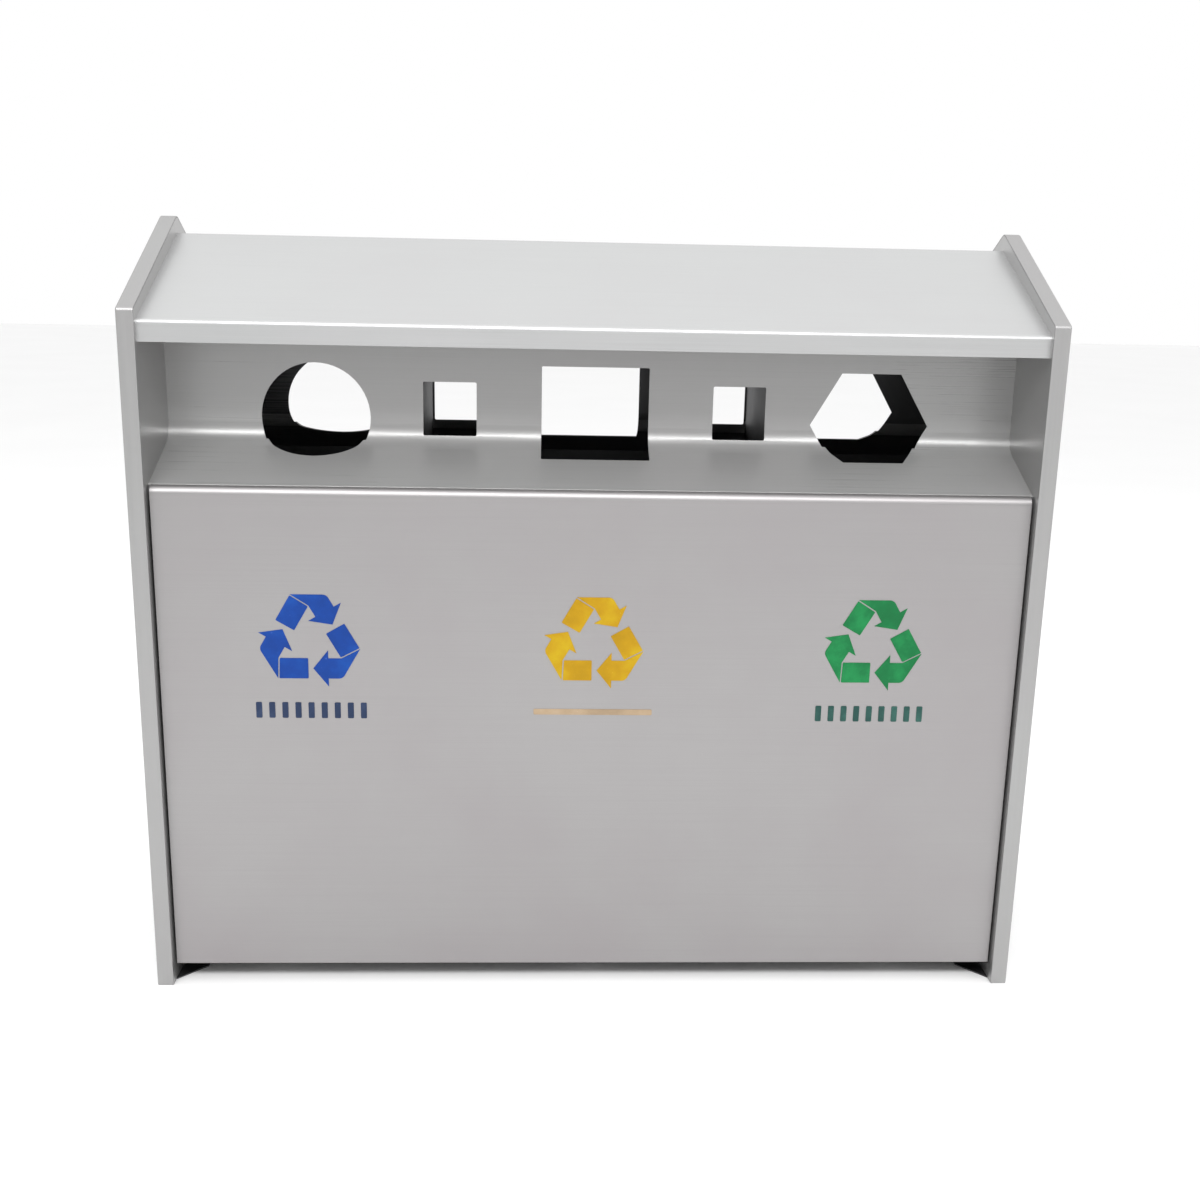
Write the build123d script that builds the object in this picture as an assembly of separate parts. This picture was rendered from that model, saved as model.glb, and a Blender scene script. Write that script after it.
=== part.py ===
from build123d import *
import os
from math import atan2, cos, degrees, radians, sin, tan

os.makedirs("parts", exist_ok=True)

# Recycling bin station, all steel cabinet with bins behind one door.
# Millimetres. X runs left to right, the front faces -Y, Z is up, and the origin is on the floor
# below the middle of the cabinet.

# Cabinet
width = 1200.0
depth = 460.0
eave_height = 924.0  # top of the side panels at the front and rear
apex_height = 1044.0
apex_radius = 16.0
corner_radius = 6.0
outer_edge_radius = 2.0
return_edge_radius = 1.0
floor_flange_width = 36.0
floor_flange_height = 13.0
floor_flange_reach = 214.0
side_thickness = 22.0
side_sheet = 1.5
liner_sheet = 1.5
seam = 0.4
inner_half = width / 2 - side_thickness  # from the centre to the inner face of a side
sheet = 2.0
cut = 1.0  # a cutting shape stands out this far beyond the face it opens

# Roof
roof_ridge = 1020.0
roof_eave = 910.0
lip_bottom = 883.0
roof_setback = 7.0
roof_bend = 7.0
ridge_cap_leg = 60.0
ridge_cap_gap = 4.0  # clear of each side

# Hopper panels, each an upright sheet that bends forward into a sloping shelf
hopper_face = 99.0
hopper_bend_height = 750.0
hopper_bend_radius = 34.0
shelf_front_depth = 207.5
shelf_slope = radians(23.8)
shelf_drop = 20.0
shelf_edge_round = 1.2
opening_round = 2.0
stamp = 15.0  # depth of a cutting shape on both sides of the sheet
round_diameter = 147.0
square_side = 147.0
small_side = 72.5
hexagon_flats = 142.0
opening_height = 779.5  # centre of the large openings
small_height = 793.5
large_pitch = 379.0
small_offset = 198.0

# Door
door_face = 217.0
door_bottom = 26.0
door_top = 698.0
door_gap = 3.0
door_flange = 20.0  # depth of the sides
door_top_flange = 9.0
door_top_clearance = 21.0  # the sides stop this far below the top, under the shelf
door_bottom_flange = 8.0
door_bend = 12.0
stiffener_offset = 187.0
stiffener_half = 30.0
stiffener_depth = 14.0
stiffener_sheet = 1.5
stiffener_foot = 12.0  # flat strip on each side
stiffener_inset = 30.0  # from the ends of the door
hinge_line_y = -200.0
hinge_line_z = 36.0
hinge_pitch = 430.0
hinge_pin_diameter = 6.0
knuckle_diameter = 12.0
knuckle_half = 11.0
bracket_half = 24.0
bracket_sheet = 3.0
bracket_upstand = 20.0
knuckle_gap = 0.4
running_fit = 0.06
catch_height = 40.0
catch_top = 676.0
catch_width = 34.0
catch_depth = 18.0
catch_gap = 1.0
strike_width = 30.0
strike_return = 14.0

# Floor of the cabinet
pan_height = 62.0
pan_skirt = 22.0
pan_reach = 180.0
rail_height = 34.0
rail_width = 40.0
rail_offset = 140.0
foot_offset = 500.0
foot_diameter = 44.0
foot_pad = 8.0
foot_stem_diameter = 12.0

# Bins
bin_gap = 0.5
large_bin_offset = 385.0
large_bin_width = 262.0
large_bin_depth = 330.0
narrow_bin_offset = 193.5
narrow_bin_width = 84.0
narrow_bin_depth = 300.0
bin_height = 534.0
bin_wall = 2.5
floor_inset = 14.0
rim_width = 8.0
rim_height = 12.0
bin_corner = 18.0
rim_corner = 22.0
bail_radius = 176.0
bail_wire = 8.0
bail_grip = 14.0
bail_grip_half = 55.0
bail_corner = 24.0
bail_eye = 16.0
bail_eye_half = 3.0
bail_half_width = 140.0
bail_drop = 26.0  # pivots below the rim
pivot_pin_diameter = 6.0
rest_half = 20.0  # bracket that the handle lies on
rest_sheet = 3.0
rest_reach = 6.0
rest_root = 9.5  # its root lies in the bin wall
bail_rest_gap = 0.3
strap_half = 14.0  # handle strap of a narrow bin
strap_depth = 24.0
strap_height = 24.0
strap_drop = 60.0
strap_root = 10.0
guide_height = 12.0
guide_thickness = 3.0
guide_reach = 150.0
guide_inner = 141.0
guide_outer = 244.5

# Divider plates between the waste streams
divider_thickness = 1.5
divider_bottom = 612.0
divider_clearance = 20.0
divider_inner = 149.0
divider_outer = 237.5

# Signs: three folded arrows chasing one another round a triangle, measured from its middle
sign_outer = 52.0  # to the outer edge of a band
sign_inner = 24.0
sign_corner = 63.0  # to the flat across a corner
sign_corner_round = 9.0
sign_head_base = 24.0
sign_head_tip = 4.0
sign_tail_end = -2.5
sign_barb = 11.0  # a head stands out this far on both sides of its band
sign_fold_gap = 1.6
sign_round = 1.2
sign_height = 497.0
sign_thickness = 0.6
sign_pitch = 377.0
label_level = 400.5
label_bar_width = 160.0
label_bar_height = 8.0
label_mark_width = 8.0
label_mark_height = 22.0
label_mark_pitch = 17.4
label_marks = 9
label_round = 1.5

screw_head = 9.0
screw_head_height = 2.2
screw_columns = (-540, -270, 0, 270, 540)
screw_levels = (60, 660)


def save(shape, name):
    shape.label = name
    export_step(shape, f"parts/{name}.step")


def place_box(x0, x1, y0, y1, z0, z1):
    size = (x1 - x0, y1 - y0, z1 - z0)
    centre = ((x0 + x1) / 2, (y0 + y1) / 2, (z0 + z1) / 2)
    return Pos(*centre) * Box(*size)


def along_x(face_points, x0, x1):
    """Closed outline in (Y, Z), extruded from x0 to x1."""
    outline = Plane.YZ * make_face(Polyline(*face_points, close=True))
    return Pos(x0, 0, 0) * extrude(outline, amount=x1 - x0, dir=(1, 0, 0))


def round_lines_along_x(solid, spots, radius):
    """Rounds the edges that run along X through the given (Y, Z) spots."""
    chosen = []
    for edge in solid.edges().filter_by(Axis.X):
        middle = edge.center()
        for y, z in spots:
            if abs(middle.Y - y) < 0.05 and abs(middle.Z - z) < 0.05:
                chosen.append(edge)
    return fillet(chosen, radius)


def pin(x, y, z0, z1, diameter):
    return Pos(x, y, (z0 + z1) / 2) * Cylinder(diameter / 2, z1 - z0)


def pin_x(x0, x1, y, z, diameter):
    return Pos((x0 + x1) / 2, y, z) * Rot(0, 90, 0) * Cylinder(diameter / 2, x1 - x0)


def pin_y(x, y0, y1, z, diameter):
    return Pos(x, (y0 + y1) / 2, z) * Rot(90, 0, 0) * Cylinder(diameter / 2, y1 - y0)


# Side panels: a folded outer tray and a flat liner inside it
def side_outline(inset):
    rise = (apex_height - eave_height) / (depth / 2)
    slope_shift = inset * ((1 + rise**2) ** 0.5 - rise)
    half = depth / 2 - inset
    eave = eave_height - slope_shift
    apex = apex_height - inset * (1 + rise**2) ** 0.5
    return [(-half, inset), (half, inset), (half, eave), (0, apex), (-half, eave)]


def side_blank(inset, x0, x1, apex_round, corner_round):
    points = side_outline(inset)
    blank = along_x(points, x0, x1)
    blank = round_lines_along_x(blank, [points[3]], apex_round)
    return round_lines_along_x(blank, [points[2], points[4]], corner_round)


def side_panel():
    outer = side_blank(0, -width / 2, -inner_half, apex_radius, corner_radius)
    outer = fillet(outer.faces().sort_by(Axis.X)[0].edges(), outer_edge_radius)
    outer = fillet(outer.faces().sort_by(Axis.X)[-1].edges(), return_edge_radius)
    hollow = side_blank(
        side_sheet,
        -width / 2 + side_sheet,
        -inner_half + cut,
        apex_radius - side_sheet,
        corner_radius - side_sheet,
    )
    return outer - hollow


def side_liner():
    inset = side_sheet + seam
    return side_blank(
        inset,
        -inner_half - liner_sheet,
        -inner_half,
        apex_radius - inset,
        corner_radius - inset,
    )


def floor_flange():
    """Angle strip along the foot of a side, its floor leg cut to 45 degrees at both ends."""
    near = -inner_half
    far = near + floor_flange_width
    reach = floor_flange_reach
    outline = [
        (near, -reach),
        (far, -reach + floor_flange_width),
        (far, reach - floor_flange_width),
        (near, reach),
    ]
    leg = extrude(make_face(Polyline(*outline, close=True)), amount=sheet)
    short = reach - floor_flange_width
    return leg + place_box(near, near + sheet, -short, short, 0, floor_flange_height)


# Roof: one sheet folded at the ridge and at both eaves
def roof():
    eave = depth / 2 - roof_setback
    slope = atan2(roof_ridge - roof_eave, eave)
    drop = sheet / cos(slope)
    inner_eave = eave - sheet
    inner_top = roof_ridge - drop - inner_eave * (roof_ridge - roof_eave) / eave
    points = [
        (-eave, lip_bottom),
        (-eave, roof_eave),
        (0, roof_ridge),
        (eave, roof_eave),
        (eave, lip_bottom),
        (inner_eave, lip_bottom),
        (inner_eave, inner_top),
        (0, roof_ridge - drop),
        (-inner_eave, inner_top),
        (-inner_eave, lip_bottom),
    ]
    body = along_x(points, -inner_half, inner_half)
    body = round_lines_along_x(body, [points[1], points[3]], roof_bend)
    body = round_lines_along_x(body, [points[6], points[8]], roof_bend - sheet)
    return round_lines_along_x(body, [points[2]], roof_bend)


def roof_underside(y):
    eave = depth / 2 - roof_setback
    slope = atan2(roof_ridge - roof_eave, eave)
    return roof_ridge - sheet / cos(slope) - abs(y) * (roof_ridge - roof_eave) / eave


def ridge_stiffener():
    leg = ridge_cap_leg
    half = inner_half - ridge_cap_gap
    top = roof_underside(0)
    low = roof_underside(leg)
    points = [
        (-leg, low),
        (0, top),
        (leg, low),
        (leg, low - 2 * sheet),
        (leg - sheet, low - 2 * sheet),
        (0, top - 2 * sheet),
        (-leg + sheet, low - 2 * sheet),
        (-leg, low - 2 * sheet),
    ]
    return along_x(points, -half, half)


# Hopper panels
def shelf_level(y):
    """Upper face of the sloping shelf at a distance y from the middle."""
    return hopper_bend_height - (abs(y) - hopper_face) * sin(shelf_slope) / cos(shelf_slope)


def hopper_sheet():
    drop = sheet / cos(shelf_slope)
    top_outer = roof_underside(hopper_face)
    top_inner = roof_underside(hopper_face - sheet)
    end = shelf_front_depth
    inner_end = end - sheet
    inner_level = shelf_level(hopper_face - sheet) - drop
    foot = shelf_level(end) - shelf_drop
    points = [
        (-hopper_face, top_outer),
        (-hopper_face, hopper_bend_height),
        (-end, shelf_level(end)),
        (-end, foot),
        (-inner_end, foot),
        (-inner_end, shelf_level(inner_end) - drop),
        (-hopper_face + sheet, inner_level),
        (-hopper_face + sheet, top_inner),
    ]
    body = along_x(points, -inner_half, inner_half)
    body = round_lines_along_x(body, [points[1]], hopper_bend_radius)
    body = round_lines_along_x(body, [points[6]], hopper_bend_radius + sheet)
    return round_lines_along_x(body, [points[2]], shelf_edge_round)


def folded_cutter(outline, x, level):
    """Cuts an outline out of the flat sheet: below the bend it follows the slope."""
    over = 2 * square_side
    flat = Plane.XZ * Pos(x, level - hopper_bend_height) * outline
    prism = extrude(flat, amount=stamp, both=True)
    upper = prism & Pos(x, 0, over / 2) * Box(over, over, over)
    lower = prism & Pos(x, 0, -over / 2) * Box(over, over, over)
    fold = -90 + degrees(shelf_slope)
    return Pos(0, -hopper_face, hopper_bend_height) * (upper + Rot(fold, 0, 0) * lower)


def hopper_front():
    body = hopper_sheet()
    hexagon = RegularPolygon(hexagon_flats / 2, 6, major_radius=False)
    small = RectangleRounded(small_side, small_side, opening_round)
    large = RectangleRounded(square_side, square_side, opening_round)
    body = body - folded_cutter(Circle(round_diameter / 2), -large_pitch, opening_height)
    body = body - folded_cutter(large, 0, opening_height)
    body = body - folded_cutter(hexagon, large_pitch, opening_height)
    for x in (-small_offset, small_offset):
        stamped = extrude(Plane.XZ * small, amount=stamp, both=True)
        body = body - Pos(x, -hopper_face, small_height) * stamped
    return body


# Front door: a shallow tray, its top flange folded back along the slope of the shelf
def tray_section():
    """Outline in (Y, Z) of the closed tray and of its hollow, facing -Y."""
    back = door_face - door_flange
    climb = sin(shelf_slope) / cos(shelf_slope)
    drop = sheet / cos(shelf_slope)
    over = 2 * sheet  # the hollow runs out of the open back
    outer = [
        (-door_face, door_bottom),
        (-door_face, door_top),
        (-back, door_top + door_flange * climb),
        (-back, door_bottom),
    ]
    inner = [
        (-door_face + sheet, door_bottom + sheet),
        (-door_face + sheet, door_top - drop + sheet * climb),
        (-back + over, door_top - drop + (door_flange + over) * climb),
        (-back + over, door_bottom + sheet),
    ]
    return outer, inner


def tray(half, bottom_depth):
    outer, inner = tray_section()
    body = along_x(outer, -half, half)
    body = round_lines_along_x(body, [outer[1]], door_bend)
    body = round_lines_along_x(body, [outer[0]], sheet)
    hollow = along_x(inner, -half + sheet, half - sheet)
    hollow = round_lines_along_x(hollow, [inner[1]], door_bend - sheet)
    notch = place_box(
        -half + sheet,
        half - sheet,
        -door_face + bottom_depth,
        0,
        door_bottom - cut,
        door_bottom + sheet + cut,
    )
    shelf_room = place_box(
        -half - cut,
        half + cut,
        -door_face + door_top_flange,
        0,
        door_top - door_top_clearance,
        door_top + door_flange,
    )
    return body - hollow - notch - shelf_room


def door_skin():
    return tray(inner_half - door_gap, door_bottom_flange)


def door_stiffener(x):
    """Hat section standing against the back of the door's face."""
    back = -door_face + sheet
    half = stiffener_half
    wide = half + stiffener_foot
    front = back + stiffener_depth
    wall = stiffener_sheet
    low = door_bottom + stiffener_inset
    high = door_top - stiffener_inset
    body = place_box(x - half, x + half, back, front, low, high)
    body = body + place_box(x - wide, x + wide, back, back + wall, low, high)
    inner = half - wall
    return body - place_box(x - inner, x + inner, back - cut, front - wall, low - cut, high + cut)


# Hinges along the foot of the door: a block on the door turns on a pin held by a bracket
def hinge_block(x):
    inner_face = -door_face + sheet
    radius = knuckle_diameter / 2
    low = hinge_line_z - radius
    high = hinge_line_z + radius
    block = place_box(x - knuckle_half, x + knuckle_half, inner_face, hinge_line_y, low, high)
    block = block + pin_x(x - knuckle_half, x + knuckle_half, hinge_line_y, hinge_line_z, knuckle_diameter)
    hole = pin_x(
        x - bracket_half, x + bracket_half, hinge_line_y, hinge_line_z, hinge_pin_diameter + 2 * running_fit
    )
    return block - hole


def hinge_bracket(x):
    """Leaf on the front base rail, with a knuckle on each side of the block."""
    rail_face = -rail_offset - rail_width / 2
    leaf_low = hinge_line_z - bracket_sheet
    leaf_front = hinge_line_y + knuckle_diameter / 2 + bracket_sheet
    body = place_box(x - bracket_half, x + bracket_half, leaf_front, rail_face, leaf_low, hinge_line_z)
    body = body + place_box(
        x - bracket_half,
        x + bracket_half,
        rail_face - bracket_sheet,
        rail_face,
        leaf_low,
        hinge_line_z + bracket_upstand,
    )
    for side in (-1, 1):
        near, far = sorted((x + side * (knuckle_half + knuckle_gap), x + side * bracket_half))
        body = body + pin_x(near, far, hinge_line_y, hinge_line_z, knuckle_diameter)
        body = body + place_box(near, far, hinge_line_y, leaf_front + cut, leaf_low, hinge_line_z)
    reach = bracket_half + cut
    return body - pin_x(x - reach, x + reach, hinge_line_y, hinge_line_z, hinge_pin_diameter)


def hinge_pins():
    pins = []
    for x in (-hinge_pitch, 0, hinge_pitch):
        pins.append(
            pin_x(x - bracket_half, x + bracket_half, hinge_line_y, hinge_line_z, hinge_pin_diameter)
        )
    return Compound(children=pins)


# Magnet catches hold the top of the door shut
def magnet_catch(side):
    near, far = sorted((side * (inner_half - catch_width), side * inner_half))
    front = -door_face + door_flange + catch_gap
    body = place_box(near, far, front, front + catch_depth, catch_top - catch_height, catch_top)
    return fillet(body.edges().filter_by(Axis.Z), sheet)


def strike_plate(side):
    """Angle inside the end of the door, its wide leg facing the magnet."""
    end = side * (inner_half - door_gap - sheet)
    back = -door_face + door_flange
    low = catch_top - catch_height
    near, far = sorted((end - side * strike_width, end))
    plate = place_box(near, far, back - sheet, back, low, catch_top)
    near, far = sorted((end - side * sheet, end))
    return plate + place_box(near, far, back - strike_return, back, low, catch_top)


# Rear panel: fixed, same outline as the door
def rear_panel():
    return mirror(tray(inner_half, door_flange), Plane.XZ)


# Floor pan, rails and feet
def base_pan():
    low = pan_height - pan_skirt
    body = place_box(-inner_half, inner_half, -pan_reach, pan_reach, low, pan_height)
    inner = pan_reach - sheet
    return body - place_box(-width / 2, width / 2, -inner, inner, low - cut, pan_height - sheet)


def base_rail(side):
    """Channel, open below."""
    middle = side * rail_offset
    half = rail_width / 2
    inner = half - sheet
    top = pan_height - sheet
    low = top - rail_height
    body = place_box(-inner_half, inner_half, middle - half, middle + half, low, top)
    return body - place_box(-width / 2, width / 2, middle - inner, middle + inner, low - cut, top - sheet)


def foot(x, y):
    top = pan_height - 2 * sheet
    pad = pin(x, y, 0, foot_pad, foot_diameter)
    pad = chamfer(pad.edges().group_by(Axis.Z)[-1], sheet)
    stem = pin(x, y, foot_pad - cut, top, foot_stem_diameter)
    return pad + stem


# Bins
bin_floor = pan_height + bin_gap
rim_top = bin_floor + bin_height
bail_level = rim_top - bail_drop


def bin_outline(x, level, bin_width, bin_depth, inset, corner):
    flat = RectangleRounded(bin_width - 2 * inset, bin_depth - 2 * inset, corner)
    return Pos(x, 0, level) * flat


def bin_body(x, bin_width, bin_depth):
    """Tapered shell with a flat floor and a band round its rim."""
    outer_corner = bin_corner
    inner_corner = bin_corner - bin_wall
    outside = loft(
        [
            bin_outline(x, bin_floor, bin_width, bin_depth, floor_inset, outer_corner),
            bin_outline(x, rim_top, bin_width, bin_depth, rim_width, outer_corner),
        ]
    )
    inside = loft(
        [
            bin_outline(x, bin_floor + bin_wall, bin_width, bin_depth, floor_inset + bin_wall, inner_corner),
            bin_outline(x, rim_top + cut, bin_width, bin_depth, rim_width + bin_wall, inner_corner),
        ]
    )
    band = bin_outline(x, rim_top - rim_height, bin_width, bin_depth, 0, rim_corner)
    return outside + extrude(band, amount=rim_height) - inside


def large_bin(x):
    body = bin_body(x, large_bin_width, large_bin_depth)
    for side in (-1, 1):
        rooted = x + side * (large_bin_width / 2 - rim_width - bin_wall / 2)
        near, far = sorted((rooted, x + side * (bail_half_width + cut)))
        body = body + pin_x(near, far, 0, bail_level, pivot_pin_diameter)
    rest_top = bail_level - bail_grip / 2 - bail_rest_gap
    root = -large_bin_depth / 2 + rest_root
    front = -bail_radius - rest_reach
    return body + place_box(x - rest_half, x + rest_half, front, root, rest_top - rest_sheet, rest_top)


def bail(x):
    """Wire handle lying level in front of the rim, with an eye round each pivot."""
    half = bail_half_width
    path = Polyline(
        (x - half, 0, bail_level),
        (x - half, -bail_radius, bail_level),
        (x + half, -bail_radius, bail_level),
        (x + half, 0, bail_level),
    )
    path = fillet(path.vertices().filter_by(lambda v: v.Y < -cut), bail_corner)
    start = Plane(origin=(x - half, 0, bail_level), z_dir=(0, -1, 0))
    body = sweep(start * Circle(bail_wire / 2), path=path)
    for side in (-1, 1):
        end = x + side * half
        body = body + pin_x(end - bail_eye_half, end + bail_eye_half, 0, bail_level, bail_eye)
    hole = pivot_pin_diameter + 2 * running_fit
    for side in (-1, 1):
        end = x + side * half
        body = body - pin_x(end - 2 * bail_eye_half, end + 2 * bail_eye_half, 0, bail_level, hole)
    return body + pin_x(x - bail_grip_half, x + bail_grip_half, -bail_radius, bail_level, bail_grip)


def narrow_bin(x):
    """Slim bin with a folded strap across its front as a handle."""
    root = -narrow_bin_depth / 2 + strap_root
    level = rim_top - strap_drop
    half = strap_half
    tall = strap_height / 2
    front = root - strap_depth
    strap = place_box(x - half, x + half, front, root, level - tall, level + tall)
    inner = half - sheet
    open_low = level - tall - cut
    open_high = level + tall + cut
    strap = strap - place_box(x - inner, x + inner, front + sheet, root + cut, open_low, open_high)
    return bin_body(x, narrow_bin_width, narrow_bin_depth) + strap


def bin_guide(x):
    half = guide_thickness / 2
    top = pan_height + guide_height
    body = place_box(x - half, x + half, -guide_reach, guide_reach, pan_height, top)
    return chamfer(body.edges().filter_by(Axis.Y).group_by(Axis.Z)[-1], guide_thickness / 3)


def divider(x):
    half = divider_thickness / 2
    edge = hopper_face - sheet
    top = roof_underside(edge) - divider_clearance
    return place_box(x - half, x + half, -edge, edge, divider_bottom, top)


# One side of a sign, seen with its band level and below the middle
def sign_head():
    """The second half of an arrow: from the fold at the right corner to the tip."""
    corner = radians(30)
    inner_x = sign_inner / tan(corner)
    cut_x = (sign_corner - sign_outer * sin(corner)) / cos(corner)
    fold_x = 2 * sign_corner * cos(corner) - cut_x
    fold_y = sign_outer - 2 * sign_corner * sin(corner)
    outline = [
        (inner_x, -sign_inner),
        (fold_x, fold_y),
        (cut_x, -sign_outer),
        (sign_head_base, -sign_outer),
        (sign_head_base, -sign_outer - sign_barb),
        (sign_head_tip, -(sign_outer + sign_inner) / 2),
        (sign_head_base, -sign_inner + sign_barb),
        (sign_head_base, -sign_inner),
    ]
    face = make_face(Polyline(*outline, close=True))
    outer = face.vertices().filter_by(lambda v: v.X > cut_x - cut and v.Y < -sign_inner)
    return fillet(outer, sign_corner_round)


def sign_tail():
    """The first half of the next arrow: from its cut end to the fold at the left corner."""
    corner = radians(30)
    inner_x = sign_inner / tan(corner)
    cut_x = (sign_corner - sign_outer * sin(corner)) / cos(corner)
    outline = [
        (sign_tail_end, -sign_inner),
        (-inner_x + sign_fold_gap, -sign_inner),
        (-cut_x + sign_fold_gap, -sign_outer),
        (sign_tail_end, -sign_outer),
    ]
    face = make_face(Polyline(*outline, close=True))
    return fillet(face.vertices(), sign_round)


def sign(x):
    pieces = []
    for turn in (0, 120, 240):
        for face in (sign_head(), sign_tail()):
            flat = extrude(Rot(0, 0, turn) * face, amount=sign_thickness)
            placed = Pos(x, -door_face, sign_height) * Rot(90, 0, 0) * flat
            pieces.append(Solid(placed.solids()[0].wrapped))
    return Compound(children=pieces)


def label_strip(x, strip_width, strip_height):
    body = place_box(
        x - strip_width / 2,
        x + strip_width / 2,
        -door_face - sign_thickness,
        -door_face,
        label_level - strip_height / 2,
        label_level + strip_height / 2,
    )
    return fillet(body.edges().filter_by(Axis.Y), label_round)


def label_row(x):
    """Row of plain upright marks in place of a caption."""
    marks = []
    for i in range(label_marks):
        place = x + (i - (label_marks - 1) / 2) * label_mark_pitch
        marks.append(label_strip(place, label_mark_width, label_mark_height))
    return Compound(children=marks)


def rear_panel_screws():
    heads = []
    for x in screw_columns:
        for z in screw_levels:
            head = pin_y(x, door_face, door_face + screw_head_height, z, screw_head)
            heads.append(fillet(head.faces().sort_by(Axis.Y)[-1].edges(), screw_head_height / 2))
    return Compound(children=heads)


left_panel = side_panel()
save(left_panel, "side_panel_left")
save(mirror(left_panel, Plane.YZ), "side_panel_right")
left_liner = side_liner()
save(left_liner, "side_liner_left")
save(mirror(left_liner, Plane.YZ), "side_liner_right")
left_flange = floor_flange()
save(left_flange, "floor_flange_left")
save(mirror(left_flange, Plane.YZ), "floor_flange_right")
save(roof(), "roof")
save(ridge_stiffener(), "ridge_stiffener")

front_hopper = hopper_front()
save(front_hopper, "hopper_front")
save(mirror(front_hopper, Plane.XZ), "hopper_rear")

save(door_skin(), "door_skin")
save(door_stiffener(-stiffener_offset), "door_stiffener_left")
save(door_stiffener(stiffener_offset), "door_stiffener_right")
for colour, x in (("blue", -sign_pitch), ("yellow", 0), ("green", sign_pitch)):
    save(sign(x), f"sign_{colour}")
save(label_row(-sign_pitch), "label_row_blue")
save(label_strip(0, label_bar_width, label_bar_height), "label_bar_yellow")
save(label_row(sign_pitch), "label_row_green")
for name, x in (("left", -hinge_pitch), ("middle", 0), ("right", hinge_pitch)):
    save(hinge_block(x), f"hinge_block_{name}")
    save(hinge_bracket(x), f"hinge_bracket_{name}")
save(hinge_pins(), "hinge_pins")
for name, side in (("left", -1), ("right", 1)):
    save(magnet_catch(side), f"magnet_catch_{name}")
    save(strike_plate(side), f"strike_plate_{name}")

save(rear_panel(), "rear_panel")
save(rear_panel_screws(), "rear_panel_screws")
save(base_pan(), "base_pan")
save(base_rail(-1), "base_rail_front")
save(base_rail(1), "base_rail_rear")
for name, x in (("left", -foot_offset), ("right", foot_offset)):
    save(foot(x, -rail_offset), f"foot_front_{name}")
    save(foot(x, rail_offset), f"foot_rear_{name}")

for name, x in (("left", -large_bin_offset), ("middle", 0), ("right", large_bin_offset)):
    save(large_bin(x), f"large_bin_{name}")
    save(bail(x), f"bail_handle_{name}")
for name, side in (("left", -1), ("right", 1)):
    save(narrow_bin(side * narrow_bin_offset), f"narrow_bin_{name}")
    save(bin_guide(side * guide_inner), f"bin_guide_inner_{name}")
    save(bin_guide(side * guide_outer), f"bin_guide_outer_{name}")
    save(divider(side * divider_inner), f"divider_inner_{name}")
    save(divider(side * divider_outer), f"divider_outer_{name}")
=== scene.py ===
import math

import bmesh
import bpy
from mathutils import Matrix, Vector


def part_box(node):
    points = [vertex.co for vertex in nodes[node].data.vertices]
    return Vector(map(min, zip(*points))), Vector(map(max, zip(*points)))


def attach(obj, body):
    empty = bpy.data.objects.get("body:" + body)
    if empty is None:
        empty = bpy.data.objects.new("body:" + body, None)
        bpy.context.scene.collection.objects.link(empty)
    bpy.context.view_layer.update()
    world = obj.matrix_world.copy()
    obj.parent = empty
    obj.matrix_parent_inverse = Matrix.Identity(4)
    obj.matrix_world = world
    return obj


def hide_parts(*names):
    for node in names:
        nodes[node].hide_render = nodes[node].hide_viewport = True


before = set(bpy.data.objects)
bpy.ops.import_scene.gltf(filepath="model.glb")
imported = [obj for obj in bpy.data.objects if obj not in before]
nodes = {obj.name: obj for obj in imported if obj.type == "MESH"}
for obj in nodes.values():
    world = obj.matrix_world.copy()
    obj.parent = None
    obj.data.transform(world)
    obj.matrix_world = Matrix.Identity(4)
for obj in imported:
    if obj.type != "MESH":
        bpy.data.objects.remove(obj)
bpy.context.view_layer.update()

scene = bpy.context.scene

noiseBand = (0.3, 0.7)  # most of a noise lies between these


# shader helpers: every finish below is built from these few steps

def newFinish(name):
    finish = bpy.data.materials.new(name)
    finish.use_nodes = True
    tree = finish.node_tree
    tree.nodes.clear()
    output = tree.nodes.new("ShaderNodeOutputMaterial")
    shader = tree.nodes.new("ShaderNodeBsdfPrincipled")
    tree.links.new(shader.outputs["BSDF"], output.inputs["Surface"])
    return finish, tree, shader


def objectSpace(tree, stretch=(1.0, 1.0, 1.0), shift=(0.0, 0.0, 0.0)):
    coords = tree.nodes.new("ShaderNodeTexCoord")
    mapping = tree.nodes.new("ShaderNodeMapping")
    mapping.inputs["Scale"].default_value = stretch
    mapping.inputs["Location"].default_value = shift
    tree.links.new(coords.outputs["Object"], mapping.inputs["Vector"])
    return mapping.outputs["Vector"]


def noise(tree, vector, scale, detail, rough):
    node = tree.nodes.new("ShaderNodeTexNoise")
    node.inputs["Scale"].default_value = scale
    node.inputs["Detail"].default_value = detail
    node.inputs["Roughness"].default_value = rough
    tree.links.new(vector, node.inputs["Vector"])
    return node.outputs["Fac"]


def shade(tone, share):
    return tuple(c * share for c in tone)


def ramp(tree, fac, stops):
    node = tree.nodes.new("ShaderNodeValToRGB")
    elements = node.color_ramp.elements
    while len(elements) < len(stops):
        elements.new(0.5)
    for element, (place, colour) in zip(elements, stops):
        element.position = place
        element.color = (*colour, 1.0)
    tree.links.new(fac, node.inputs["Fac"])
    return node.outputs["Color"]


def twoTones(tree, fac, darker, lighter):
    return ramp(tree, fac, list(zip(noiseBand, (darker, lighter))))


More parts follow.
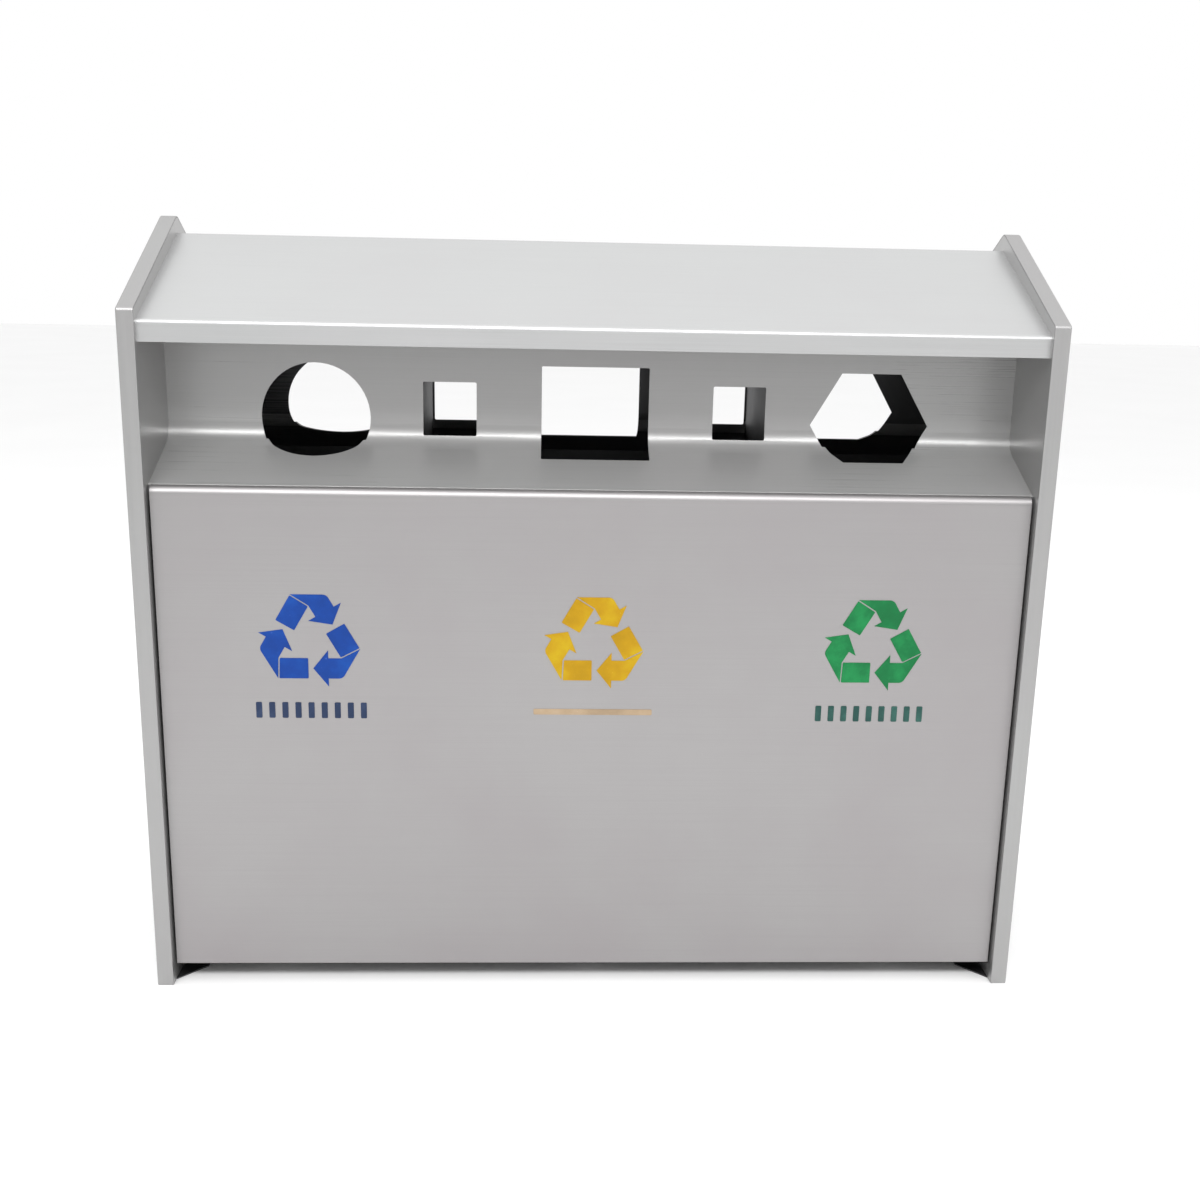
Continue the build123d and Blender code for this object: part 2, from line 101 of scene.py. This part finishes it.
def spread(tree, fac, low, high, fromLow=noiseBand[0], fromHigh=noiseBand[1]):
    node = tree.nodes.new("ShaderNodeMapRange")
    node.inputs["From Min"].default_value = fromLow
    node.inputs["From Max"].default_value = fromHigh
    node.inputs["To Min"].default_value = low
    node.inputs["To Max"].default_value = high
    tree.links.new(fac, node.inputs["Value"])
    return node.outputs["Result"]


def combine(tree, kind, *values):
    # each value is a number or another node's output
    node = tree.nodes.new("ShaderNodeMath")
    node.operation = kind
    for socket, value in zip(node.inputs, values):
        if isinstance(value, float):
            socket.default_value = value
        else:
            tree.links.new(value, socket)
    return node.outputs[0]


def blendOf(tree, first, second, share):
    # share of the first and the rest of the second
    return combine(tree, "ADD", combine(tree, "MULTIPLY", first, share),
                   combine(tree, "MULTIPLY", second, 1.0 - share))


def tintOver(tree, fac, under, tint):
    node = tree.nodes.new("ShaderNodeMix")
    node.data_type = "RGBA"
    tree.links.new(fac, node.inputs["Factor"])
    tree.links.new(under, node.inputs[6])  # the first colour
    node.inputs[7].default_value = (*tint, 1.0)  # the second colour
    return node.outputs[2]


def roughen(tree, shader, fac, rough, swing):
    # a little smoother and a little rougher than the middle value
    level = spread(tree, fac, rough + swing[0], rough + swing[1])
    tree.links.new(level, shader.inputs["Roughness"])


def bump(tree, shader, height, strength, distance):
    node = tree.nodes.new("ShaderNodeBump")
    node.inputs["Strength"].default_value = strength
    node.inputs["Distance"].default_value = distance
    tree.links.new(height, node.inputs["Height"])
    tree.links.new(node.outputs["Normal"], shader.inputs["Normal"])


# satin stainless sheet; grain is the stretch of the brush marks along X, Y and Z
# the tones are lit and shaded copies of one steel, painted light and shade: roof and liners
# lighter as if lit from above, door and side panels darker, the hopper darkened as painted shade
# in the recess
steelLook = {
    "door": {"tone": (0.345, 0.336, 0.337), "rough": 0.42, "metal": 0.85,
             "grain": (1.5, 90.0, 420.0), "smudge": 0.45, "shift": (3.1, 0.2, 1.7)},
    "side": {"tone": (0.365, 0.365, 0.363), "rough": 0.42, "metal": 0.85,
             "grain": (90.0, 420.0, 1.5), "smudge": 0.35, "shift": (7.3, 1.1, 4.2)},
    "liner": {"tone": (0.46, 0.46, 0.457), "rough": 0.34, "metal": 0.85,
              "grain": (90.0, 420.0, 1.5), "smudge": 0.30, "shift": (5.2, 2.4, 0.6)},
    "roof": {"tone": (0.49, 0.495, 0.495), "rough": 0.38, "metal": 0.85,
             "grain": (1.5, 380.0, 380.0), "smudge": 0.25, "shift": (1.6, 3.9, 2.2)},
    "hopper": {"tone": (0.38, 0.38, 0.377), "rough": 0.30, "metal": 0.42,
               "grain": (1.5, 380.0, 380.0), "smudge": 0.30, "shift": (9.4, 0.8, 3.3)},
}

# the brushing that every sheet shares; a noise is its scale, detail and roughness
brushLook = {
    "marks": (2.6, 5.0, 0.62),
    "hairlines": (9.0, 3.0, 0.6),
    "cloud": (3.2, 4.0, 0.55),
    "darkMark": (0.25, 0.95),  # where it falls in the marks, and its share of the tone
    "lightMark": (0.78, 1.04),
    "smudgeTint": (0.95, 0.90, 0.925),  # handled areas go slightly warm
    "smudgeBand": (0.42, 0.72),
    "roughSwing": (-0.04, 0.07),
    "roughBand": (0.35, 0.65),
    "marksShare": 0.5,
    "hairlineDepth": 0.5,
    "bump": (0.06, 0.0003),  # strength, and height in metres
}


def steelColour(tree, look, marks, cloud):
    tone = look["tone"]
    darkPlace, darkShare = brushLook["darkMark"]
    lightPlace, lightShare = brushLook["lightMark"]
    base = ramp(tree, marks, [(darkPlace, shade(tone, darkShare)), (0.5, tone),
                              (lightPlace, shade(tone, lightShare))])
    smudged = tuple(c * tint for c, tint in zip(tone, brushLook["smudgeTint"]))
    smudge = spread(tree, cloud, 0.0, look["smudge"], *brushLook["smudgeBand"])
    return tintOver(tree, smudge, base, smudged)


def brushedSteel(name, look, backShade=None):
    finish, tree, shader = newFinish(name)
    shader.inputs["Metallic"].default_value = look["metal"]
    grainSpace = objectSpace(tree, look["grain"], look["shift"])
    marks = noise(tree, grainSpace, *brushLook["marks"])
    hairlines = noise(tree, grainSpace, *brushLook["hairlines"])
    cloud = noise(tree, objectSpace(tree, shift=look["shift"]), *brushLook["cloud"])
    base = steelColour(tree, look, marks, cloud)
    if backShade:
        # painted shade laid over the back of the sheet
        base = tintOver(tree, shadedSideMask(tree, backShade), base, backShade["tone"])
    tree.links.new(base, shader.inputs["Base Color"])
    smoothest, roughest = (look["rough"] + swing for swing in brushLook["roughSwing"])
    patchy = blendOf(tree, marks, cloud, brushLook["marksShare"])
    rough = spread(tree, patchy, smoothest, roughest, *brushLook["roughBand"])
    tree.links.new(rough, shader.inputs["Roughness"])
    finer = combine(tree, "MULTIPLY", hairlines, brushLook["hairlineDepth"])
    bump(tree, shader, combine(tree, "ADD", marks, finer), *brushLook["bump"])
    return finish


# the back of a hopper sheet is darkened as painted shade, the shade inside the cabinet; metres and
# degrees
hopperBackShade = {"face": 0.0985, "bend": 0.750, "slope": 23.8, "below": -0.0011,
              "tone": (0.14, 0.14, 0.145)}


def shadedSideMask(tree, look):
    # 1 behind the upright sheet or below the sloping one, else 0: where the painted shade goes
    split = tree.nodes.new("ShaderNodeSeparateXYZ")
    tree.links.new(objectSpace(tree), split.inputs["Vector"])
    away = combine(tree, "ABSOLUTE", split.outputs["Y"])
    behind = combine(tree, "LESS_THAN", away, look["face"])
    steepness = math.tan(math.radians(look["slope"]))
    fall = combine(tree, "MULTIPLY", combine(tree, "SUBTRACT", away, look["face"]), steepness)
    rise = combine(tree, "SUBTRACT", split.outputs["Z"], look["bend"])
    below = combine(tree, "LESS_THAN", combine(tree, "ADD", rise, fall), look["below"])
    return combine(tree, "MAXIMUM", behind, below)


# plain metals: tone, roughness and the scale of the clouding
metalLook = {
    "frameSteel": {"tone": (0.30, 0.30, 0.30), "rough": 0.42, "spot": 18.0},
    # painted shade: near-black steel that stands for the shade inside the cabinet and under it
    "paintedShadeSteel": {"tone": (0.10, 0.10, 0.104), "rough": 0.55, "spot": 9.0},
    "brightSteel": {"tone": (0.62, 0.62, 0.61), "rough": 0.24, "spot": 40.0},
    "wireSteel": {"tone": (0.52, 0.53, 0.54), "rough": 0.32, "spot": 30.0},
}
metalWear = {"detail": 5.0, "crumble": 0.6, "darkest": 0.8, "roughSwing": (-0.06, 0.1),
             "bump": (0.08, 0.0006)}


def plainMetal(name, wear=metalWear):
    look = metalLook[name]
    finish, tree, shader = newFinish(name)
    shader.inputs["Metallic"].default_value = 1.0
    cloud = noise(tree, objectSpace(tree), look["spot"], wear["detail"], wear["crumble"])
    base = twoTones(tree, cloud, shade(look["tone"], wear["darkest"]), look["tone"])
    tree.links.new(base, shader.inputs["Base Color"])
    roughen(tree, shader, cloud, look["rough"], wear["roughSwing"])
    bump(tree, shader, cloud, *wear["bump"])
    return finish


# zinc coat of the bins, with its crystal pattern
zincLook = {
    "tone": (0.40, 0.42, 0.43),
    "metal": 0.9,
    "crystals": 85.0,
    "warp": (60.0, 3.0, 0.5),
    "warpReach": 0.012,
    "cloud": (6.0, 4.0, 0.6),
    "facetShare": 0.45,
    "darkest": (0.15, 0.84),  # where it falls in the pattern, and its share of the tone
    "lightest": (0.8, 1.10),
    "rough": (0.36, 0.54),
    "roughBand": (0.2, 0.8),
    "bump": (0.05, 0.0005),
}


def galvanised(name, look):
    finish, tree, shader = newFinish(name)
    shader.inputs["Metallic"].default_value = look["metal"]
    space = objectSpace(tree)
    warp = noise(tree, space, *look["warp"])
    bent = tree.nodes.new("ShaderNodeVectorMath")
    bent.operation = "ADD"
    tree.links.new(space, bent.inputs[0])
    tree.links.new(combine(tree, "MULTIPLY", warp, look["warpReach"]), bent.inputs[1])
    crystals = tree.nodes.new("ShaderNodeTexVoronoi")
    crystals.inputs["Scale"].default_value = look["crystals"]
    tree.links.new(bent.outputs[0], crystals.inputs["Vector"])
    facet = tree.nodes.new("ShaderNodeSeparateColor")
    tree.links.new(crystals.outputs["Color"], facet.inputs["Color"])
    cloud = noise(tree, space, *look["cloud"])
    patch = blendOf(tree, facet.outputs[0], cloud, look["facetShare"])
    ends = (look["darkest"], look["lightest"])
    base = ramp(tree, patch, [(place, shade(look["tone"], share)) for place, share in ends])
    tree.links.new(base, shader.inputs["Base Color"])
    rough = spread(tree, patch, *look["rough"], *look["roughBand"])
    tree.links.new(rough, shader.inputs["Roughness"])
    bump(tree, shader, cloud, *look["bump"])
    return finish


# rubber feet and the housings of the catches
plasticLook = {
    "footRubber": {"tone": (0.02, 0.02, 0.021), "rough": 0.6},
    "catchPlastic": {"tone": (0.03, 0.03, 0.032), "rough": 0.45},
}
plasticWear = {"grain": (420.0, 3.0, 0.5), "cloud": (22.0, 3.0, 0.5), "darkest": 0.8,
               "lightest": 1.15, "roughSwing": (-0.05, 0.08), "bump": (0.15, 0.0003)}


def mouldedPlastic(name, wear=plasticWear):
    tone, rough = plasticLook[name]["tone"], plasticLook[name]["rough"]
    finish, tree, shader = newFinish(name)
    space = objectSpace(tree)
    grain = noise(tree, space, *wear["grain"])
    cloud = noise(tree, space, *wear["cloud"])
    base = twoTones(tree, cloud, shade(tone, wear["darkest"]), shade(tone, wear["lightest"]))
    tree.links.new(base, shader.inputs["Base Color"])
    roughen(tree, shader, cloud, rough, wear["roughSwing"])
    bump(tree, shader, grain, *wear["bump"])
    return finish


# printed film of the signs and captions: its tone, and the tone of its lighter patches
filmLook = {
    "blueFilm": {"tone": (0.003, 0.040, 0.235), "patch": (0.005, 0.062, 0.31)},
    "yellowFilm": {"tone": (0.40, 0.225, 0.002), "patch": (0.46, 0.31, 0.006)},
    "greenFilm": {"tone": (0.004, 0.135, 0.038), "patch": (0.012, 0.22, 0.062)},
    "blueInk": {"tone": (0.018, 0.032, 0.075), "patch": (0.04, 0.06, 0.12)},
    "greenInk": {"tone": (0.016, 0.060, 0.052), "patch": (0.035, 0.11, 0.09)},
    "tanFilm": {"tone": (0.36, 0.265, 0.17), "patch": (0.42, 0.32, 0.22)},
}
filmWear = {
    "cloud": (26.0, 5.0, 0.6),
    "specks": (170.0, 3.0, 0.6),
    "darkest": (0.28, 0.82),  # where it falls in the clouding, and its share of the tone
    "patchPlace": 0.74,
    "wornMost": 0.5,
    "wornBand": (0.66, 0.76),
    "wornTone": (1.5, 0.06),  # times the tone, plus this
    "rough": (0.46, 0.58),
    "gloss": 0.22,
    "bump": (0.12, 0.0002),
}


def signFilm(name, wear=filmWear):
    # a little mottled, and worn thin in small spots
    tone, patch = filmLook[name]["tone"], filmLook[name]["patch"]
    finish, tree, shader = newFinish(name)
    space = objectSpace(tree)
    cloud = noise(tree, space, *wear["cloud"])
    specks = noise(tree, space, *wear["specks"])
    darkPlace, darkShare = wear["darkest"]
    base = ramp(tree, cloud, [(darkPlace, shade(tone, darkShare)), (0.5, tone),
                              (wear["patchPlace"], patch)])
    times, plus = wear["wornTone"]
    wornTone = tuple(min(1.0, c * times + plus) for c in tone)
    worn = spread(tree, specks, 0.0, wear["wornMost"], *wear["wornBand"])
    tree.links.new(tintOver(tree, worn, base, wornTone), shader.inputs["Base Color"])
    tree.links.new(spread(tree, cloud, *wear["rough"]), shader.inputs["Roughness"])
    shader.inputs["Specular IOR Level"].default_value = wear["gloss"]
    bump(tree, shader, specks, *wear["bump"])
    return finish


print("finishes")
doorSteel = brushedSteel("doorSteel", steelLook["door"])
frameSteel = plainMetal("frameSteel")
paintedShadeSteel = plainMetal("paintedShadeSteel")
brightSteel = plainMetal("brightSteel")
binZinc = galvanised("binZinc", zincLook)

# the finish of each piece by the start of its name, and frame steel for all the rest
finishes = {
    "side_panel": brushedSteel("sideSteel", steelLook["side"]),
    "side_liner": brushedSteel("linerSteel", steelLook["liner"]),
    "roof": brushedSteel("roofSteel", steelLook["roof"]),
    "hopper": brushedSteel("hopperSteel", steelLook["hopper"], hopperBackShade),
    "door_skin": doorSteel,
    "rear_panel_screws": brightSteel,
    "rear_panel": doorSteel,
    "large_bin": binZinc,
    "narrow_bin": binZinc,
    "bail": plainMetal("wireSteel"),
    "foot": mouldedPlastic("footRubber"),
    "magnet": mouldedPlastic("catchPlastic"),
    # dividers, ridge and floor flanges take the near-black steel as painted shade inside the
    # cabinet and under the door
    "divider": paintedShadeSteel,
    "ridge": paintedShadeSteel,
    "floor_flange": paintedShadeSteel,
    "strike": brightSteel,
    "hinge_pins": brightSteel,
    "sign_blue": signFilm("blueFilm"),
    "sign_yellow": signFilm("yellowFilm"),
    "sign_green": signFilm("greenFilm"),
    "label_row_blue": signFilm("blueInk"),
    "label_row_green": signFilm("greenInk"),
    "label_bar_yellow": signFilm("tanFilm"),
}


def finishFor(name):
    for start, finish in finishes.items():
        if name.startswith(start):
            return finish
    return frameSteel


for name, obj in nodes.items():
    for place in obj.material_slots:
        place.material = finishFor(name)


# button-head socket screws of the rear panel; rim and socket are shares of radius and height
screwLook = {
    "columns": 5,
    "rows": 2,
    "seed": 4,
    "headRadius": 0.0045,
    "headHeight": 0.0022,
    "socketFlats": 0.0025,
    "sectors": 24,
    "rim": ((1.0, 0.0), (1.0, 0.35), (0.93, 0.65), (0.78, 0.9), (0.55, 1.0)),
    "socket": ((1.0, 1.0), (0.96, 0.92), (0.94, 0.3)),
}


def screwHead(look):
    # one head standing on the XY plane: domed rim, then the walls and floor of its hexagon socket
    radius, height, sectors = look["headRadius"], look["headHeight"], look["sectors"]
    socketCorner = look["socketFlats"] / math.sqrt(3.0)
    side = math.pi / 3
    shape = bmesh.new()

    def ring(reach, level, hexagon):
        points = []
        for i in range(sectors):
            angle = math.tau * i / sectors
            wide = reach
            if hexagon:
                wide = reach * math.cos(side / 2) / math.cos((angle % side) - side / 2)
            points.append(shape.verts.new((wide * math.cos(angle), wide * math.sin(angle), level)))
        return points

    rings = [ring(radius * wide, height * tall, False) for wide, tall in look["rim"]]
    rings += [ring(socketCorner * wide, height * tall, True) for wide, tall in look["socket"]]
    for low, high in zip(rings, rings[1:]):
        for i in range(sectors):
            after = (i + 1) % sectors
            shape.faces.new((low[i], low[after], high[after], high[i]))
    shape.faces.new(rings[-1])
    shape.faces.new(list(reversed(rings[0])))
    bmesh.ops.recalc_face_normals(shape, faces=shape.faces[:])
    mesh = bpy.data.meshes.new("screwHead")
    shape.to_mesh(mesh)
    shape.free()
    return mesh


# what the screw grid asks for, and the kind of each
gridInputs = {"Width": "Float", "Height": "Float", "Columns": "Int", "Rows": "Int",
              "Centre": "Vector", "Seed": "Int"}


def gridTree(finish):
    # the object's own mesh over a grid that faces +Y, each copy turned by chance about its axis
    tree = bpy.data.node_groups.new("screwGrid", "GeometryNodeTree")
    tree.interface.new_socket("Geometry", in_out="OUTPUT", socket_type="NodeSocketGeometry")
    tree.interface.new_socket("Geometry", in_out="INPUT", socket_type="NodeSocketGeometry")
    for name, kind in gridInputs.items():
        tree.interface.new_socket(name, in_out="INPUT", socket_type="NodeSocket" + kind)
    given = tree.nodes.new("NodeGroupInput")
    result = tree.nodes.new("NodeGroupOutput")
    grid = tree.nodes.new("GeometryNodeMeshGrid")
    tree.links.new(given.outputs["Width"], grid.inputs["Size X"])
    tree.links.new(given.outputs["Height"], grid.inputs["Size Y"])
    tree.links.new(given.outputs["Columns"], grid.inputs["Vertices X"])
    tree.links.new(given.outputs["Rows"], grid.inputs["Vertices Y"])
    chance = tree.nodes.new("FunctionNodeRandomValue")
    chance.inputs[3].default_value = math.pi / 3  # the largest turn, one side of the socket
    tree.links.new(given.outputs["Seed"], chance.inputs["Seed"])
    turn = tree.nodes.new("ShaderNodeCombineXYZ")
    tree.links.new(chance.outputs[1], turn.inputs["Z"])
    copies = tree.nodes.new("GeometryNodeInstanceOnPoints")
    tree.links.new(grid.outputs["Mesh"], copies.inputs["Points"])
    tree.links.new(given.outputs["Geometry"], copies.inputs["Instance"])
    tree.links.new(turn.outputs["Vector"], copies.inputs["Rotation"])
    stand = tree.nodes.new("GeometryNodeTransform")
    stand.inputs["Rotation"].default_value = (-math.pi / 2, 0.0, 0.0)
    tree.links.new(copies.outputs["Instances"], stand.inputs["Geometry"])
    tree.links.new(given.outputs["Centre"], stand.inputs["Translation"])
    real = tree.nodes.new("GeometryNodeRealizeInstances")
    tree.links.new(stand.outputs["Geometry"], real.inputs["Geometry"])
    painted = tree.nodes.new("GeometryNodeSetMaterial")
    painted.inputs["Material"].default_value = finish
    tree.links.new(real.outputs["Geometry"], painted.inputs["Geometry"])
    tree.links.new(painted.outputs["Geometry"], result.inputs["Geometry"])
    return tree


def rearScrews(look):
    low, high = (Vector(corner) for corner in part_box("rear_panel_screws"))
    inset = look["headRadius"]
    values = {
        "Width": high.x - low.x - 2 * inset,
        "Height": high.z - low.z - 2 * inset,
        "Columns": look["columns"],
        "Rows": look["rows"],
        "Centre": (0.0, low.y, (low.z + high.z) / 2),
        "Seed": look["seed"],
    }
    source = bpy.data.objects.new("screwSource", screwHead(look))
    scene.collection.objects.link(source)
    tree = gridTree(brightSteel)
    repeat = source.modifiers.new("repeat", "NODES")
    repeat.node_group = tree
    for item in tree.interface.items_tree:
        if item.in_out == "INPUT" and item.name in values:
            repeat[item.identifier] = values[item.name]
    ready = source.evaluated_get(bpy.context.evaluated_depsgraph_get())
    mesh = bpy.data.meshes.new_from_object(ready)
    bpy.data.objects.remove(source)
    screws = bpy.data.objects.new("rearPanelSocketScrews", mesh)
    scene.collection.objects.link(screws)
    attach(screws, "cabinet")
    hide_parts("rear_panel_screws")


print("rear screws")
rearScrews(screwLook)

# pale floor, faintly clouded
floorLook = {"size": 40.0, "tone": (0.88, 0.88, 0.88), "cloud": (1.4, 3.0, 0.5),
             "darkest": 0.985, "rough": 0.7, "gloss": 0.1}


def paleFloor(look):
    half = look["size"] / 2
    corners = [(-half, -half, 0), (half, -half, 0), (half, half, 0), (-half, half, 0)]
    mesh = bpy.data.meshes.new("paleFloor")
    mesh.from_pydata(corners, [], [(0, 1, 2, 3)])
    floor = bpy.data.objects.new("paleFloor", mesh)
    scene.collection.objects.link(floor)
    finish, tree, shader = newFinish("floorPaint")
    cloud = noise(tree, objectSpace(tree), *look["cloud"])
    base = twoTones(tree, cloud, shade(look["tone"], look["darkest"]), look["tone"])
    tree.links.new(base, shader.inputs["Base Color"])
    shader.inputs["Roughness"].default_value = look["rough"]
    shader.inputs["Specular IOR Level"].default_value = look["gloss"]
    mesh.materials.append(finish)


print("floor and light")
paleFloor(floorLook)

# three soft boxes: place, aim and size in metres, power in watts
lampLook = {
    "key": {"place": (-0.3, -2.9, 3.4), "aim": (0.0, -0.15, 0.75),
            "size": (4.2, 1.0), "power": 138.0},
    "top": {"place": (0.0, 0.6, 3.6), "aim": (0.0, 0.0, 0.9),
            "size": (4.5, 2.4), "power": 10.0},
    "side": {"place": (3.2, -2.6, 1.8), "aim": (0.3, 0.0, 0.7),
             "size": (1.4, 2.4), "power": 14.0},
}


def softBox(name, look):
    lamp = bpy.data.lights.new(name, "AREA")
    lamp.shape = "RECTANGLE"
    lamp.size, lamp.size_y = look["size"]
    lamp.energy = look["power"]
    obj = bpy.data.objects.new(name, lamp)
    scene.collection.objects.link(obj)
    place = Vector(look["place"])
    turn = (Vector(look["aim"]) - place).to_track_quat("-Z", "Y")
    obj.matrix_world = Matrix.Translation(place) @ turn.to_matrix().to_4x4()


for name, look in lampLook.items():
    softBox(name + "Light", look)

# white behind the object, dimmer in front of it, brightest overhead
worldLook = {"behind": 1.0, "front": 0.62, "overhead": 1.15,
             "frontToBehind": (-0.5, 0.1), "levelToOverhead": (0.22, 0.75)}


def studioWorld(look):
    world = bpy.data.worlds.new("studio")
    scene.world = world
    world.use_nodes = True
    tree = world.node_tree
    coords = tree.nodes.new("ShaderNodeTexCoord")
    split = tree.nodes.new("ShaderNodeSeparateXYZ")
    tree.links.new(coords.outputs["Generated"], split.inputs["Vector"])
    level = spread(tree, split.outputs["Y"], look["front"], look["behind"], *look["frontToBehind"])
    high = spread(tree, split.outputs["Z"], 0.0, 1.0, *look["levelToOverhead"])
    lift = combine(tree, "MULTIPLY", high, combine(tree, "SUBTRACT", look["overhead"], level))
    background = tree.nodes["Background"]
    tree.links.new(combine(tree, "ADD", level, lift), background.inputs["Strength"])
    background.inputs["Color"].default_value = (1.0, 1.0, 1.0, 1.0)


studioWorld(worldLook)
scene.view_settings.view_transform = "Standard"

# the camera stands a little left of the middle, just below the ridge, looking down
cameraLook = {"place": (-0.0707, -1.943, 0.979), "yaw": 2.57, "pitch": -13.74, "roll": 1.2,
              "lens": 40.25, "sensor": 36.0}


def placeCamera(look):
    yaw, pitch, roll = (math.radians(look[k]) for k in ("yaw", "pitch", "roll"))
    level = math.cos(pitch)
    ahead = Vector((math.sin(yaw) * level, math.cos(yaw) * level, math.sin(pitch)))
    right = ahead.cross(Vector((0, 0, 1))).normalized()
    up = right.cross(ahead)
    tiltedRight = right * math.cos(roll) + up * math.sin(roll)
    tiltedUp = up * math.cos(roll) - right * math.sin(roll)
    data = bpy.data.cameras.new("camera")
    data.lens = look["lens"]
    data.sensor_width = look["sensor"]
    obj = bpy.data.objects.new("camera", data)
    scene.collection.objects.link(obj)
    turn = Matrix((tiltedRight, tiltedUp, -ahead)).transposed()
    obj.matrix_world = Matrix.Translation(Vector(look["place"])) @ turn.to_4x4()
    scene.camera = obj


placeCamera(cameraLook)

print("ready")
